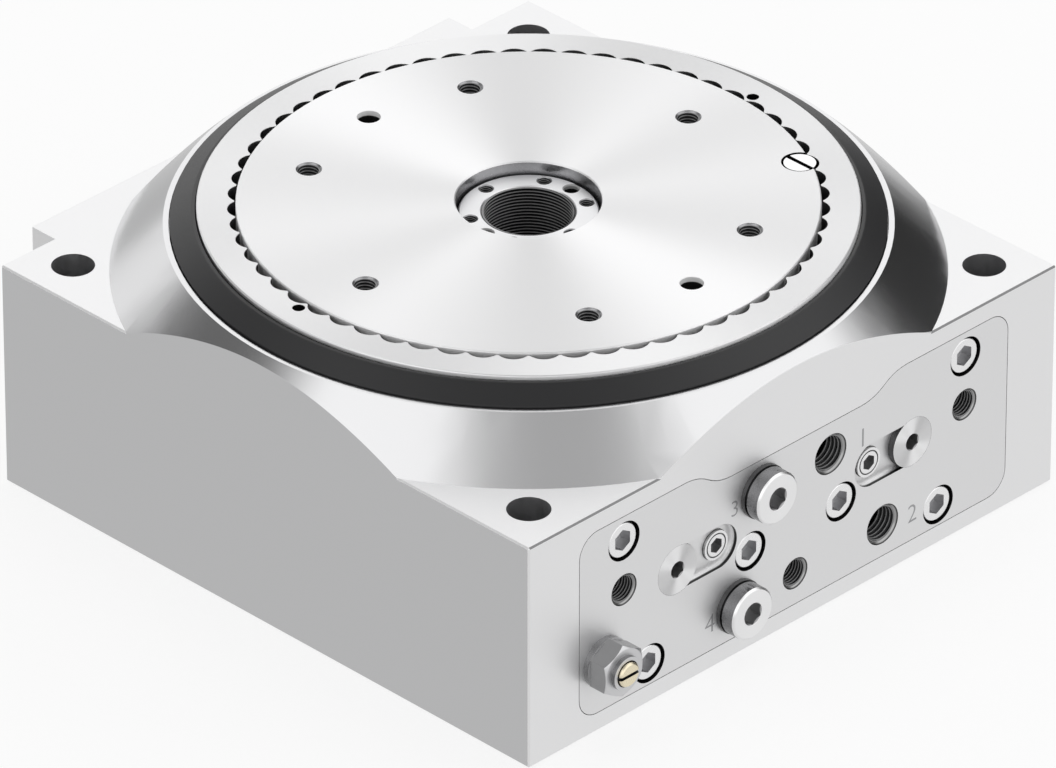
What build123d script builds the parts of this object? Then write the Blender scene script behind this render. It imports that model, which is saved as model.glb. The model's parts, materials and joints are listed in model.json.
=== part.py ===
from build123d import *
import math
import os

# A pneumatic rotary indexing table in a square housing. Sizes are in millimetres. The table turns
# about Z, the base plane is z = 0, and the port face, with its cover, looks along -Y.

# Housing block and its round boss
HALF = 124.0
PAD_Z = 84.5
RIM_EDGE = 2.7
RIM_R = HALF - RIM_EDGE
RIM_H = 18.0
RIM_Z = PAD_Z + RIM_H
RIM_WALL = 1.9
RIM_IN_R = RIM_R - RIM_WALL
EDGE = 0.6
CORNER_IN = 17.0
CORNER_XY = HALF - CORNER_IN
CORNER_HOLE_R = 7.35

# Fits: a fixed seat, a running fit across a joint, and a plain gap that nothing touches
SEAT = 0.04
RUN = 0.05
GAP = 0.4
SIDE_PLAY = 0.5

# Cover ring between the index ring and the housing's rim
COVER_RING_W = 8.4
COVER_RING_R = RIM_IN_R - GAP
COVER_RING_IN_R = COVER_RING_R - COVER_RING_W
COVER_RING_FLAT = 1.1
COVER_RING_ROUND = 1.5
COVER_RING_SEAT = 6.4
COVER_RING_RISE = 5.4
COVER_RING_TOP = RIM_Z + COVER_RING_RISE
COVER_RING_EDGE_Z = RIM_Z + 0.9

# Rotary plate and scalloped index ring
PLATE_RISE = 7.6
PLATE_Z = RIM_Z + PLATE_RISE
PLATE_T = 14.1
PLATE_BORE_R = 24.35
PLATE_BOLT_HOLE_R = 3.8
PLATE_BOLT_MOUTH_R = 4.4
PLATE_DOWEL_R = 4.0
PLATE_HOLE_DEPTH = 12.0
RING_R = COVER_RING_IN_R - GAP
RING_BAND_W = 13.1
RING_Z = PLATE_Z - 0.65
RING_LIP_W = 9.1
RING_LIP_T = 3.5
PLATE_R = RING_R - RING_BAND_W
PLATE_BOLT_IN = 21.5
PLATE_BOLT_R = PLATE_R - PLATE_BOLT_IN
RING_LIP_R = PLATE_R - RING_LIP_W
SCALLOPS = 60
SCALLOP_R = 5.7
SCALLOP_PITCH_R = PLATE_R - 2.9
RING_PIN_OUT = 4.1
RING_PIN_R = PLATE_R + RING_PIN_OUT
RING_PIN_HOLE_R = 2.1
RING_PIN_SINK = 6.0
RING_PIN_ANGLES = (177.0, 357.0)
KEY_R = 5.5
KEY_HOLE_R = 6.25
KEY_PITCH_R = PLATE_R - 3.7
KEY_ANGLE = -30.0
KEY_SLOT = 1.6
KEY_SLOT_DEPTH = 1.8

# Hollow centre column
COLUMN_R = 23.5
COLUMN_BORE_R = 15.65
COLUMN_SINK = 4.4
COLUMN_Z = PLATE_Z - COLUMN_SINK
COLUMN_FOOT_R = 34.0
COLUMN_FOOT_T = 6.0
COLUMN_FOOT_BOLT_R = COLUMN_FOOT_R - 5.0
COLUMN_BOLT_R = 20.0
COLUMN_BOLT_HOLE_R = 2.3
COLUMN_PIN_HOLE_R = 2.5
COLUMN_HOLE_DEPTH = 9.0

# Ball bearing that carries the rotor
BALL_R = 4.5
BALLS = 24
BALL_PITCH_R = PLATE_R - 1.1
BALL_PLAY = 0.08
RACE_H = 12.0
RACE_WALL = 10.2
RACE_SHOULDER = 1.8
CAGE_WALL = 2.4
CAGE_SIDE = 0.3
CAGE_PLAY = 0.1
CLAMP_T = 4.0
CLAMP_LAP = 4.0
CLAMP_BOLT_IN = 3.0
CLAMP_SCREWS = 12
CLAMP_SCREW_L = 8.0
HUB_FLANGE_T = 4.5
HUB_SKIRT_WALL = 15.0
HUB_SCREW_IN = 11.0
HUB_SCREW_L = 12.5
HUB_SCREW_BITE = 9.0
HUB_COLUMN_GAP = 3.5
HUB_TOP = PLATE_Z - PLATE_T
RACE_TOP = HUB_TOP - HUB_FLANGE_T
RACE_FLOOR = RACE_TOP - RACE_H
BALL_Z = RACE_TOP - RACE_H / 2
RACE_OUT_R = BALL_PITCH_R + RACE_SHOULDER + RACE_WALL
RACE_IN_R = BALL_PITCH_R - RACE_SHOULDER - RACE_WALL + 2.0
CLAMP_R = RIM_IN_R - COVER_RING_SEAT
CLAMP_TOP = HUB_TOP - SIDE_PLAY
HUB_BORE_R = COLUMN_R + HUB_COLUMN_GAP
HUB_SKIRT_R = RACE_IN_R - HUB_SKIRT_WALL
HUB_SCREW_R = HUB_SKIRT_R - HUB_SCREW_IN

# Index wheel with its notches, the drive bolt that carries it and the bolt that locks it
WHEEL_IN = 6.0
WHEEL_R = BALL_PITCH_R - WHEEL_IN
WHEEL_T = 7.0
WHEEL_WALL = 18.0
WHEEL_IN_R = WHEEL_R - WHEEL_WALL
WHEEL_BOLT_R = WHEEL_R - 8.0
WHEEL_SCREW_L = 11.0
WHEEL_Z = RACE_FLOOR - WHEEL_T
FLOOR_Z = WHEEL_Z - 1.5
NOTCHES = 24
NOTCH_R = 4.5
NOTCH_PITCH_R = WHEEL_IN_R + 1.5
BOLT_NOSE_R = NOTCH_R - 0.3
DRIVE_ANGLE = 240.0
DRIVE_TRAVEL = 7.0
DRIVE_BOLT_L = 26.0
DRIVE_BOLT_H = 5.6
DRIVE_NOSE_R = NOTCH_PITCH_R - DRIVE_TRAVEL
CARRIER_R = WHEEL_IN_R - 4.0
CARRIER_Z = FLOOR_Z + 1.0
CARRIER_WEB = 1.5
DRIVE_SLOT_Z = CARRIER_Z + CARRIER_WEB
CARRIER_TOP = DRIVE_SLOT_Z + DRIVE_BOLT_H + 2 * RUN
CARRIER_SCREW_L = 11.6
LOCK_ANGLE = 90.0
LOCK_TRAVEL = 6.5
LOCK_PISTON_R = 8.0
LOCK_PISTON_L = 9.0
LOCK_WEB = 6.0
LOCK_TOP = FLOOR_Z - LOCK_TRAVEL - LOCK_WEB
KEEPER_T = 2.0
KEEPER_W = 24.0
KEEPER_EDGE = 4.0
KEEPER_SCREW_L = 7.0

# Base cover under the housing
BASE_EDGE = 14.5
BASE_R = NOTCH_PITCH_R + LOCK_PISTON_R + BASE_EDGE
BASE_T = 8.0
BASE_SCREWS = 8
BASE_SCREW_IN = 7.0
BASE_SCREW_L = 13.0
COLUMN_SCREW_L = 8.0

# Twin cylinders, rack pistons and the gear between them
MODULE = 3.0
TEETH = 28
GEAR_FACE = 20.0
PRESSURE_ANGLE = 20.0
BACKLASH = 0.1
SWING = 60.0
PITCH_R = MODULE * TEETH / 2
TIP_R = PITCH_R + MODULE
ROOT_R = PITCH_R - 1.25 * MODULE
TOOTH_PITCH = math.pi * MODULE
CHAMBER_R = TIP_R + 2.0
RACK_TIP_X = PITCH_R - MODULE
RACK_ROOT_X = PITCH_R + 1.25 * MODULE
RACK_AXIS_OUT = 16.4
CYL_X = RACK_TIP_X + RACK_AXIS_OUT
CYL_Z = 45.6
CYL_R = 20.0
SPIGOT_L = 12.0
BUFFER_L = 12.0
STOP_Y = HALF - SPIGOT_L - BUFFER_L
END_GAP = 0.3
STROKE = math.radians(SWING) * PITCH_R
RACK_L = 2 * STOP_Y - STROKE - 2 * END_GAP
RACK_R = CYL_R - RUN - 0.02
RACK_HEAD_L = 27.2
SEAL_IN = 7.0
SEAL_W = 4.0
BAND_IN = 15.0
BAND_W = 6.0
SEAL_DEPTH = 2.4
BUFFER_R = 11.0
BUFFER_STUD_L = 5.0
GEAR_Z0 = CYL_Z - GEAR_FACE / 2
GEAR_FOOT_Z = BASE_T + COLUMN_FOOT_T + 1.5
GEAR_HUB_R = 33.0
BUSH_WALL = 2.4
BUSH_R = COLUMN_R + BUSH_WALL
GEAR_SCREW_R = (BUSH_R + GEAR_HUB_R) / 2

# Flush cover on the port face
FRONT = -HALF
COVER_T = 11.0
COVER_IN = 23.0
COVER_X = HALF - COVER_IN
COVER_LOW = 7.0
COVER_HIGH = PAD_Z - 7.0
COVER_DIP = COVER_HIGH - 6.8
COVER_DIP_X = 30.6
COVER_RISE_X = 52.2
COVER_ROUND = 8.5
COVER_GAP = 0.25
UPPER_SCREW = (COVER_X - 20.6, COVER_HIGH - 9.6)
MIDDLE_SCREW = (21.4, CYL_Z - 8.1)
LOWER_SCREW = (COVER_X - 32.6, COVER_LOW + 8.3)
COVER_SCREWS = (UPPER_SCREW, MIDDLE_SCREW, LOWER_SCREW)
PORT_A = (16.2, 58.25)
PORT_B = (41.6, 19.5)
PLUG_UPPER = (-16.3, 58.7)
PLUG_LOWER = (-27.5, 19.1)
PORT_R = 6.58
PORT_MOUTH_R = 7.5
PORT_DEPTH = 9.5
AIRWAY_R = 2.5
AIRWAY_L = 12.0
STUD_X = COVER_X - 20.7
STUD_HOLES = ((-STUD_X, 49.2), (STUD_X, 49.2), (0.0, 19.1))
STUD_HOLE_R = 5.0
STUD_MOUTH_R = 5.85
STUD_DEPTH = 8.0
SLOT_X = 36.0
SLOT_HALF_W = 8.2
SLOT_DEPTH = 2.4

# Adjusters, their lock screws, the plugs and the throttle in the cover
ADJUSTER_R = 9.1
ADJUSTER_HEAD_T = 3.4
ADJUSTER_BODY_R = 7.0
ADJUSTER_KEY = 5.4
ADJUSTER_KEY_DEPTH = 8.0
LOCK_SCREW_R = 4.0
LOCK_SCREW_HEAD_R = 5.4
LOCK_SCREW_GROOVE_R = 4.5
LOCK_SCREW_GROOVE_W = 0.5
LOCK_SCREW_SEAT_R = 5.6
LOCK_SCREW_SEAT_DEPTH = 0.8
LOCK_SCREW_RISE = 1.0
LOCK_SCREW_KEY = 5.0
PLUG_R = 9.4
PLUG_H = 7.5
PLUG_NECK_R = 8.6
PLUG_WASHER_R = 9.7
PLUG_WASHER_T = 1.6
PLUG_KEY = 7.2
THROTTLE_AT = (11.2 - COVER_X, 26.1)
THROTTLE_FLANGE_R = 9.15
THROTTLE_FLANGE_T = 2.2
THROTTLE_AF = 17.0
THROTTLE_NUT_Z = 9.6
THROTTLE_STUB_R = 6.1
THROTTLE_STUB_Z = 11.2
THROTTLE_BORE_R = 4.75
THROTTLE_SCREW_R = 4.4
THROTTLE_SCREW_Z = 12.5
THROTTLE_SLOT_W = 1.2
THROTTLE_SLOT_DEPTH = 1.5

# End block over the cylinders at the back
REAR_IN = 26.0
REAR_X = HALF - REAR_IN
REAR_T = 13.0
REAR_LOW = 7.0
REAR_HIGH = PAD_Z - 1.5
FACE_SEAL_IN_R = CYL_R + 0.8
FACE_SEAL_W = 2.2
FACE_SEAL_T = 1.6

# Cap screws by thread size: thread radius, head radius, head height, key width
M3 = (1.5, 2.75, 3.0, 2.5)
M4 = (2.0, 3.5, 4.0, 3.0)
M5 = (2.5, 4.25, 5.0, 4.0)
M6 = (3.0, 5.0, 6.0, 5.0)
M8 = (4.0, 6.4, 8.0, 6.8)
COVER_SCREW_L = 16.0
REAR_SCREW_L = 18.0
TAPPED_L = 17.0
HEAD_SINK = 0.6
HEAD_CLEAR = 0.8
SHANK_CLEAR = 0.3
UP = (Align.CENTER, Align.CENTER, Align.MIN)


def disc(radius, z0, z1, x=0.0, y=0.0):
    return Pos(x, y, z0) * Cylinder(radius, z1 - z0, align=UP)


def ring(inner, outer, z0, z1):
    return disc(outer, z0, z1) - disc(inner, z0 - 1, z1 + 1)


def rod_y(radius, x, z, y0, y1):
    # A round bar along Y, from y0 to the larger y1.
    return Pos(x, y0, z) * Rot(-90, 0, 0) * Cylinder(radius, y1 - y0, align=UP)


def turned(*outline):
    # A solid of revolution about Z, from its outline in radius and height.
    return revolve(Plane.XZ * make_face(Polyline(*outline, close=True)), axis=Axis.Z)


def polar(radius, angle):
    return radius * math.cos(math.radians(angle)), radius * math.sin(math.radians(angle))


def circle_of(count, radius, start=0.0):
    return [polar(radius, start + 360.0 * i / count) for i in range(count)]


def hexagon(across_flats, height):
    # A hexagonal bar on z = 0 with two corners along Y.
    outline = RegularPolygon(across_flats / 2, 6, major_radius=False, rotation=30)
    return extrude(outline, height)


def cap_screw(size, length):
    # A socket head cap screw: the head's top lies on z = 0 and the shank points down.
    thread_r, head_r, head_h, key = size
    head = Pos(0, 0, -head_h) * Cylinder(head_r, head_h, align=UP)
    head = chamfer(head.edges().group_by(Axis.Z)[-1], 0.06 * head_r)
    shank = Pos(0, 0, -head_h - length) * Cylinder(thread_r, length, align=UP)
    return head + shank - Pos(0, 0, -0.55 * head_h) * hexagon(key, head_h)


def screw_hole(size, clear_depth, thread_depth, sink=0.0):
    # What a cap screw needs: a counterbore, a clearance hole and the thread below it.
    thread_r, head_r, head_h, _ = size
    bore = disc(head_r + HEAD_CLEAR, -head_h - sink, 1)
    bore += disc(thread_r + SHANK_CLEAR, -clear_depth, 0)
    return bore + disc(thread_r + SEAT, -clear_depth - thread_depth, 0)


def onto_front(shape, x, z, depth=0.0):
    # Turns a shape that stands up along Z so that it faces out of the port face.
    return Pos(x, FRONT + depth, z) * Rot(90, 0, 0) * shape


def onto_rear(shape, x, z, depth=0.0):
    return Pos(x, HALF + REAR_T - depth, z) * Rot(-90, 0, 0) * shape


def from_below(shape, x, y, z):
    return Pos(x, y, z) * Rot(180, 0, 0) * shape


def both_sides(points):
    return [(side * x, z) for x, z in points for side in (-1, 1)]


def cover_outline(inset=0.0):
    # The cover is lower between the cylinders, with a soft double bend up to each side lobe.
    mid = ((COVER_DIP_X + COVER_RISE_X) / 2, (COVER_DIP + COVER_HIGH) / 2)
    dip = Line((0, COVER_DIP), (COVER_DIP_X, COVER_DIP))
    bend_low = TangentArc((COVER_DIP_X, COVER_DIP), mid, tangent=(1, 0))
    bend_high = TangentArc((COVER_RISE_X, COVER_HIGH), mid, tangent=(-1, 0))
    rest = Polyline((COVER_RISE_X, COVER_HIGH), (COVER_X, COVER_HIGH), (COVER_X, COVER_LOW), (0, COVER_LOW),
                    (0, COVER_DIP))
    half = make_face(dip + bend_low + bend_high + rest)
    corners = [v for v in half.vertices() if abs(v.X - COVER_X) < 0.01]
    half = fillet(corners, COVER_ROUND)
    whole = half + mirror(half, about=Plane.YZ)
    return offset(whole, amount=-inset) if inset else whole


def on_port_face(outline, depth, start=0.0):
    # Extrudes an outline of the port face back into the block.
    plane = Plane(origin=(0, FRONT + start, 0), x_dir=(1, 0, 0), z_dir=(0, -1, 0))
    return extrude(plane * outline, -depth)


def housing():
    block = Box(2 * HALF, 2 * HALF, PAD_Z, align=UP)
    block = chamfer(block.edges(), EDGE)
    foot_r = RIM_R + RIM_Z - PAD_Z
    overlap_z = PAD_Z - 2 * EDGE
    boss = turned((0, overlap_z), (foot_r, overlap_z), (foot_r, PAD_Z), (RIM_R, RIM_Z), (0, RIM_Z))
    boss = boss & Box(2 * HALF, 2 * HALF, 2 * RIM_Z)
    body = block + boss
    body -= disc(BASE_R + SEAT, -1, BASE_T)
    body -= disc(CHAMBER_R, 0, FLOOR_Z + 1)
    body -= disc(WHEEL_R + 4, FLOOR_Z, RACE_FLOOR + 1)
    body -= disc(RACE_OUT_R + SEAT, RACE_FLOOR, RACE_TOP + 1)
    body -= disc(CLAMP_R + SEAT, RACE_TOP, HUB_TOP + 1)
    body -= disc(RIM_IN_R, HUB_TOP, RIM_Z + 1)
    body -= on_port_face(cover_outline(), COVER_T)
    for side in (-1, 1):
        body -= rod_y(CYL_R, side * CYL_X, CYL_Z, FRONT, HALF + 1)
    for x in (-CORNER_XY, CORNER_XY):
        for y in (-CORNER_XY, CORNER_XY):
            body -= disc(CORNER_HOLE_R, -1, PAD_Z + 1, x, y)
    for x, z in both_sides(COVER_SCREWS):
        body -= onto_front(screw_hole(M8, COVER_T, TAPPED_L), x, z)
        body -= onto_rear(screw_hole(M8, REAR_T, TAPPED_L), x, z)
    for x, z in (PORT_A, PORT_B, PLUG_UPPER, PLUG_LOWER):
        body -= onto_front(disc(AIRWAY_R, -COVER_T - AIRWAY_L, 0), x, z)
    for x, y in base_screw_places():
        body -= disc(M5[0] + SEAT, 0, BASE_T + BASE_SCREW_L - 2, x, y)
    for x, y in clamp_screw_places():
        body -= disc(M3[0] + SEAT, RACE_TOP - CLAMP_SCREW_L, RACE_TOP + 1, x, y)
    lock_x, lock_y = polar(NOTCH_PITCH_R, LOCK_ANGLE)
    body -= disc(BOLT_NOSE_R + RUN, 0, FLOOR_Z + 1, lock_x, lock_y)
    body -= disc(LOCK_PISTON_R + RUN, 0, LOCK_TOP + LOCK_TRAVEL + 1, lock_x, lock_y)
    return body


def base_screw_places():
    return circle_of(BASE_SCREWS, BASE_R - BASE_SCREW_IN, 180.0 / BASE_SCREWS)


def clamp_screw_places():
    return circle_of(CLAMP_SCREWS, CLAMP_R - CLAMP_BOLT_IN, 180.0 / CLAMP_SCREWS)


def hub_screw_places():
    return circle_of(8, HUB_SCREW_R, 22.5)


def wheel_screw_places():
    return circle_of(6, WHEEL_BOLT_R, 7.5)


def foot_screw_places():
    return circle_of(6, COLUMN_FOOT_BOLT_R, 30)


def base_cover():
    cover = ring(COLUMN_R + SEAT, BASE_R, 0, BASE_T)
    for x, y in base_screw_places():
        cover -= from_below(screw_hole(M5, BASE_T, 1), x, y, 0)
    for x, y in foot_screw_places():
        cover -= from_below(screw_hole(M5, BASE_T, 1), x, y, 0)
    return cover


def base_cover_screws():
    screw = cap_screw(M5, BASE_SCREW_L)
    return [from_below(screw, x, y, 0) for x, y in base_screw_places()]


def column_screws():
    screw = cap_screw(M5, COLUMN_SCREW_L)
    return [from_below(screw, x, y, 0) for x, y in foot_screw_places()]


def centre_column():
    foot_z = BASE_T + COLUMN_FOOT_T
    body = disc(COLUMN_R, 0, COLUMN_Z) + disc(COLUMN_FOOT_R, BASE_T, foot_z)
    body -= disc(COLUMN_BORE_R, -1, COLUMN_Z + 1)
    body = chamfer(body.edges().group_by(Axis.Z)[-1], 0.5)
    for x, y in circle_of(6, COLUMN_BOLT_R, 30):
        body -= disc(COLUMN_BOLT_HOLE_R, COLUMN_Z - COLUMN_HOLE_DEPTH, COLUMN_Z + 1, x, y)
    for x, y in circle_of(2, COLUMN_BOLT_R):
        body -= disc(COLUMN_PIN_HOLE_R, COLUMN_Z - COLUMN_HOLE_DEPTH, COLUMN_Z + 1, x, y)
    for x, y in foot_screw_places():
        body -= disc(M5[0] + SEAT, 0, foot_z - 0.5, x, y)
    return body


def key_cut(radius, top, bottom):
    x, y = polar(KEY_PITCH_R, KEY_ANGLE)
    return disc(radius, bottom, top, x, y)


def rotary_plate():
    # The plate's rim overhangs the index ring's inner lip and clamps it to the hub.
    lip_z = HUB_TOP + RING_LIP_T
    plate = disc(PLATE_R, lip_z, PLATE_Z) + disc(RING_LIP_R - SEAT, HUB_TOP, PLATE_Z)
    plate -= disc(PLATE_BORE_R, 0, PLATE_Z + 1)
    plate = chamfer(plate.edges().group_by(Axis.Z)[-1], 0.4)
    for x, y in circle_of(6, PLATE_BOLT_R):
        plate -= disc(PLATE_BOLT_HOLE_R, PLATE_Z - PLATE_HOLE_DEPTH, PLATE_Z + 1, x, y)
        plate -= Pos(x, y, PLATE_Z) * mouth(PLATE_BOLT_HOLE_R, PLATE_BOLT_MOUTH_R)
    for x, y in circle_of(2, PLATE_BOLT_R, 90):
        plate -= disc(PLATE_DOWEL_R, PLATE_Z - PLATE_HOLE_DEPTH, PLATE_Z + 1, x, y)
    for x, y in hub_screw_places():
        plate -= disc(M6[0] + SEAT, HUB_TOP - 1, HUB_TOP + HUB_SCREW_BITE, x, y)
    return plate - key_cut(KEY_HOLE_R, PLATE_Z + 1, lip_z)


def index_ring():
    # Sixty scallops round the inner edge let the plate be set in six-degree steps.
    lip_z = HUB_TOP + RING_LIP_T
    body = ring(PLATE_R + GAP, RING_R, HUB_TOP, RING_Z) + ring(RING_LIP_R, PLATE_R + 2 * GAP, HUB_TOP, lip_z)
    body = chamfer(body.edges().group_by(Axis.Z)[-1].sort_by(SortBy.LENGTH)[-1], 0.4)
    cutters = [disc(SCALLOP_R, lip_z, RING_Z + 1, x, y) for x, y in circle_of(SCALLOPS, SCALLOP_PITCH_R)]
    body -= cutters
    for angle in RING_PIN_ANGLES:
        x, y = polar(RING_PIN_R, angle)
        body -= disc(RING_PIN_HOLE_R, HUB_TOP + 1, RING_Z + 1, x, y)
    return body - key_cut(KEY_HOLE_R, RING_Z + 1, lip_z)


def index_ring_pins():
    pins = []
    for angle in RING_PIN_ANGLES:
        x, y = polar(RING_PIN_R, angle)
        pins.append(disc(RING_PIN_HOLE_R - SEAT, HUB_TOP + 1, RING_Z - RING_PIN_SINK, x, y))
    return pins


def locking_key_screw():
    # A slotted round key that fills a hole shared by the plate's rim and one scallop.
    lip_z = HUB_TOP + RING_LIP_T
    key = key_cut(KEY_R, PLATE_Z - 0.3, lip_z)
    x, y = polar(KEY_PITCH_R, KEY_ANGLE)
    slot = Pos(x, y, PLATE_Z) * Box(KEY_SLOT, 3 * KEY_R, 2 * KEY_SLOT_DEPTH)
    return key - slot


def rotor_hub():
    flange = disc(PLATE_R, RACE_TOP, HUB_TOP)
    skirt = disc(RACE_IN_R - SEAT, RACE_FLOOR, RACE_TOP) - disc(HUB_SKIRT_R, 0, RACE_TOP)
    hub = flange + skirt - disc(HUB_BORE_R, 0, HUB_TOP + 1)
    for x, y in hub_screw_places():
        hub -= disc(M6[0] + SHANK_CLEAR, 0, HUB_TOP + 1, x, y)
    for x, y in wheel_screw_places():
        hub -= disc(M4[0] + SEAT, 0, RACE_FLOOR + WHEEL_SCREW_L - 2, x, y)
    return hub


def hub_screws():
    screw = cap_screw(M6, HUB_SCREW_L)
    return [from_below(screw, x, y, RACE_TOP - M6[2]) for x, y in hub_screw_places()]


def centre_seal():
    return ring(COLUMN_R + RUN, HUB_BORE_R - SEAT, RACE_TOP, HUB_TOP)


def race_groove():
    section = Pos(BALL_PITCH_R, BALL_Z) * Circle(BALL_R + BALL_PLAY)
    return revolve(Plane.XZ * section, axis=Axis.Z)


def bearing_inner_race():
    return ring(RACE_IN_R, BALL_PITCH_R - RACE_SHOULDER, RACE_FLOOR, RACE_TOP) - race_groove()


def bearing_outer_race():
    # The outer race stops short of the turning hub above it.
    return ring(BALL_PITCH_R + RACE_SHOULDER, RACE_OUT_R, RACE_FLOOR, RACE_TOP - SIDE_PLAY) - race_groove()


def bearing_balls():
    return [Pos(x, y, BALL_Z) * Sphere(BALL_R) for x, y in circle_of(BALLS, BALL_PITCH_R)]


def bearing_cage():
    inner = BALL_PITCH_R - CAGE_WALL / 2
    cage = ring(inner, inner + CAGE_WALL, RACE_FLOOR + CAGE_SIDE, RACE_TOP - CAGE_SIDE)
    for i in range(BALLS):
        pocket = Pos(BALL_PITCH_R, 0, BALL_Z) * Rot(0, 90, 0) * Cylinder(BALL_R + CAGE_PLAY, 2 * CAGE_WALL)
        cage -= Rot(0, 0, 360.0 * i / BALLS) * pocket
    return cage


def outer_race_clamp():
    clamp = ring(BALL_PITCH_R + RACE_SHOULDER + CLAMP_LAP, CLAMP_R, RACE_TOP, CLAMP_TOP)
    for x, y in clamp_screw_places():
        clamp -= Pos(x, y, CLAMP_TOP) * screw_hole(M3, CLAMP_T, 1, 0.1)
    return clamp


def outer_clamp_screws():
    screw = cap_screw(M3, CLAMP_SCREW_L)
    return [Pos(x, y, CLAMP_TOP - 0.1) * screw for x, y in clamp_screw_places()]


def cover_ring():
    # The black ring slopes outwards from a narrow flat, and its crest is rounded.
    flat_r = COVER_RING_IN_R + COVER_RING_FLAT
    section = make_face(Polyline((COVER_RING_IN_R, HUB_TOP), (COVER_RING_R, HUB_TOP),
                                 (COVER_RING_R, COVER_RING_EDGE_Z), (flat_r, COVER_RING_TOP),
                                 (COVER_RING_IN_R, COVER_RING_TOP), close=True))
    crest = [v for v in section.vertices() if abs(v.X - flat_r) < 0.01]
    return revolve(Plane.XZ * fillet(crest, COVER_RING_ROUND), axis=Axis.Z)


def index_wheel():
    wheel = ring(WHEEL_IN_R, WHEEL_R, WHEEL_Z, RACE_FLOOR)
    for i in range(NOTCHES):
        angle = 360.0 * i / NOTCHES
        notch = disc(NOTCH_R, WHEEL_Z - 1, RACE_FLOOR + 1, NOTCH_PITCH_R)
        notch += Pos(NOTCH_PITCH_R - NOTCH_R, 0, BALL_Z) * Box(2 * NOTCH_R, 2 * NOTCH_R, 4 * WHEEL_T)
        wheel -= Rot(0, 0, angle) * notch
    for x, y in wheel_screw_places():
        wheel -= from_below(screw_hole(M4, WHEEL_T, 1), x, y, WHEEL_Z)
    return wheel


def index_wheel_screws():
    screw = cap_screw(M4, WHEEL_SCREW_L)
    return [from_below(screw, x, y, WHEEL_Z) for x, y in wheel_screw_places()]


def flank_angle(radius):
    # Half the tooth's thickness at a radius, as an angle, for an involute flank.
    base_r = PITCH_R * math.cos(math.radians(PRESSURE_ANGLE))
    inv_pitch = math.tan(math.radians(PRESSURE_ANGLE)) - math.radians(PRESSURE_ANGLE)
    alpha = math.acos(min(1.0, base_r / radius))
    return math.pi / (2 * TEETH) + inv_pitch - (math.tan(alpha) - alpha)


def gear_outline():
    base_r = PITCH_R * math.cos(math.radians(PRESSURE_ANGLE))
    radii = [base_r + (TIP_R - base_r) * step / 4 for step in range(5)]
    points = []
    for i in range(TEETH):
        middle = 2 * math.pi * i / TEETH
        side = [(ROOT_R, flank_angle(base_r))] + [(r, flank_angle(r)) for r in radii]
        for radius, half in side:
            points.append((radius * math.cos(middle - half), radius * math.sin(middle - half)))
        for radius, half in reversed(side):
            points.append((radius * math.cos(middle + half), radius * math.sin(middle + half)))
    return make_face(Polyline(*points, close=True))


def drive_gear():
    gear = Pos(0, 0, GEAR_Z0) * extrude(gear_outline(), GEAR_FACE)
    gear += disc(GEAR_HUB_R, GEAR_FOOT_Z, CARRIER_Z)
    gear -= disc(BUSH_R + SEAT, 0, CARRIER_Z + 1)
    for x, y in circle_of(4, GEAR_SCREW_R, 15):
        gear -= disc(M4[0] + SEAT, CARRIER_Z - 10, CARRIER_Z + 1, x, y)
    return gear


def gear_bush():
    return ring(COLUMN_R + RUN, BUSH_R, GEAR_FOOT_Z, CARRIER_Z)


def thrust_washer():
    return ring(COLUMN_R + SEAT, GEAR_HUB_R, BASE_T + COLUMN_FOOT_T, GEAR_FOOT_Z)


def drive_bolt_shape(extra, z0, z1, length):
    # A flat bar with a round nose, lying radially along +X with its nose centred on its travel's start.
    nose = disc(BOLT_NOSE_R + extra, z0, z1, DRIVE_NOSE_R)
    bar = Pos(DRIVE_NOSE_R - length / 2, 0, (z0 + z1) / 2) * Box(length, 2 * (BOLT_NOSE_R + extra), z1 - z0)
    return nose + bar


def bolt_carrier():
    carrier = ring(COLUMN_R + 1, CARRIER_R, CARRIER_Z, CARRIER_TOP)
    slot = drive_bolt_shape(RUN, DRIVE_SLOT_Z, CARRIER_TOP + 1, DRIVE_BOLT_L + 1)
    slot += Pos(CARRIER_R, 0, CARRIER_TOP) * Box(2 * BOLT_NOSE_R, 2 * (BOLT_NOSE_R + RUN), 2 * DRIVE_BOLT_H)
    carrier -= Rot(0, 0, DRIVE_ANGLE) * slot
    for x, y in circle_of(4, GEAR_SCREW_R, 15):
        carrier -= Pos(x, y, CARRIER_TOP) * screw_hole(M4, CARRIER_TOP - CARRIER_Z, 1, 0.2)
    for x, y in keeper_places():
        hole = disc(M3[0] + SEAT, CARRIER_TOP - KEEPER_SCREW_L + 1, CARRIER_TOP + 1, x, y)
        carrier -= Rot(0, 0, DRIVE_ANGLE) * hole
    return carrier


def carrier_screws():
    screw = cap_screw(M4, CARRIER_SCREW_L)
    return [Pos(x, y, CARRIER_TOP - 0.2) * screw for x, y in circle_of(4, GEAR_SCREW_R, 15)]


def drive_bolt():
    return Rot(0, 0, DRIVE_ANGLE) * drive_bolt_shape(0, DRIVE_SLOT_Z + RUN, DRIVE_SLOT_Z + RUN + DRIVE_BOLT_H,
                                                     DRIVE_BOLT_L)


def keeper_places():
    # Its four screws, with the slot still lying along +X.
    x = DRIVE_NOSE_R - DRIVE_BOLT_L / 2 - 2
    along = DRIVE_BOLT_L / 2 - KEEPER_EDGE
    across = KEEPER_W / 2 - KEEPER_EDGE
    return [(x + i * along, j * across) for i in (-1, 1) for j in (-1, 1)]


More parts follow.
